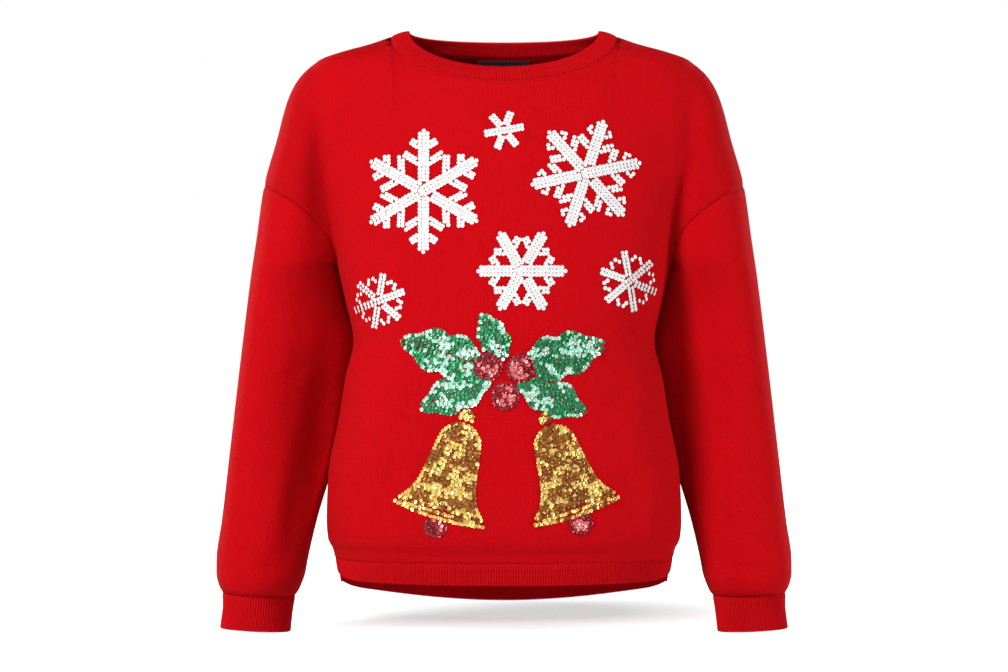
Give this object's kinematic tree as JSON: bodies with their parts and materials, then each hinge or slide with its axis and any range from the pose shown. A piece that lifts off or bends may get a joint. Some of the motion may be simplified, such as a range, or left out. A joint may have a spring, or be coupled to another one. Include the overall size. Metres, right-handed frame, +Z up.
{
  "type": "christmas sweater",
  "caption": "Hollow crew-neck knitted pullover with dropped shoulders, long cuffed sleeves, a stepped ribbed hem and a sequin motif on the front.",
  "frame": {"origin": "midway between the two points where the neckband meets the shoulders, on the shoulder line, where the wearer's shoulders hold the sweater", "axes": "+Z up, -Y towards the front of the sweater, +X towards the wearer's left"},
  "size_m": [0.6038, 0.2375, 0.6286],
  "materials": {
    "knit": "fine plain knit in bright red, matte with a soft nap",
    "rib": "one by one rib in the same red",
    "label": "plain black woven tape, bare",
    "sequins": "cupped glossy sequins: white, bronze with gold backs, green with white backs, crimson with pink backs"
  },
  "bodies": {
    "root": {"front_panel": "knit", "back_panel": "knit", "sleeve_left": "knit", "sleeve_right": "knit", "neckband": "rib", "cuff_left": "rib", "cuff_right": "rib", "hem_rib_front": "rib", "hem_rib_back": "rib", "neck_label": "label"}
  },
  "joints": []
}
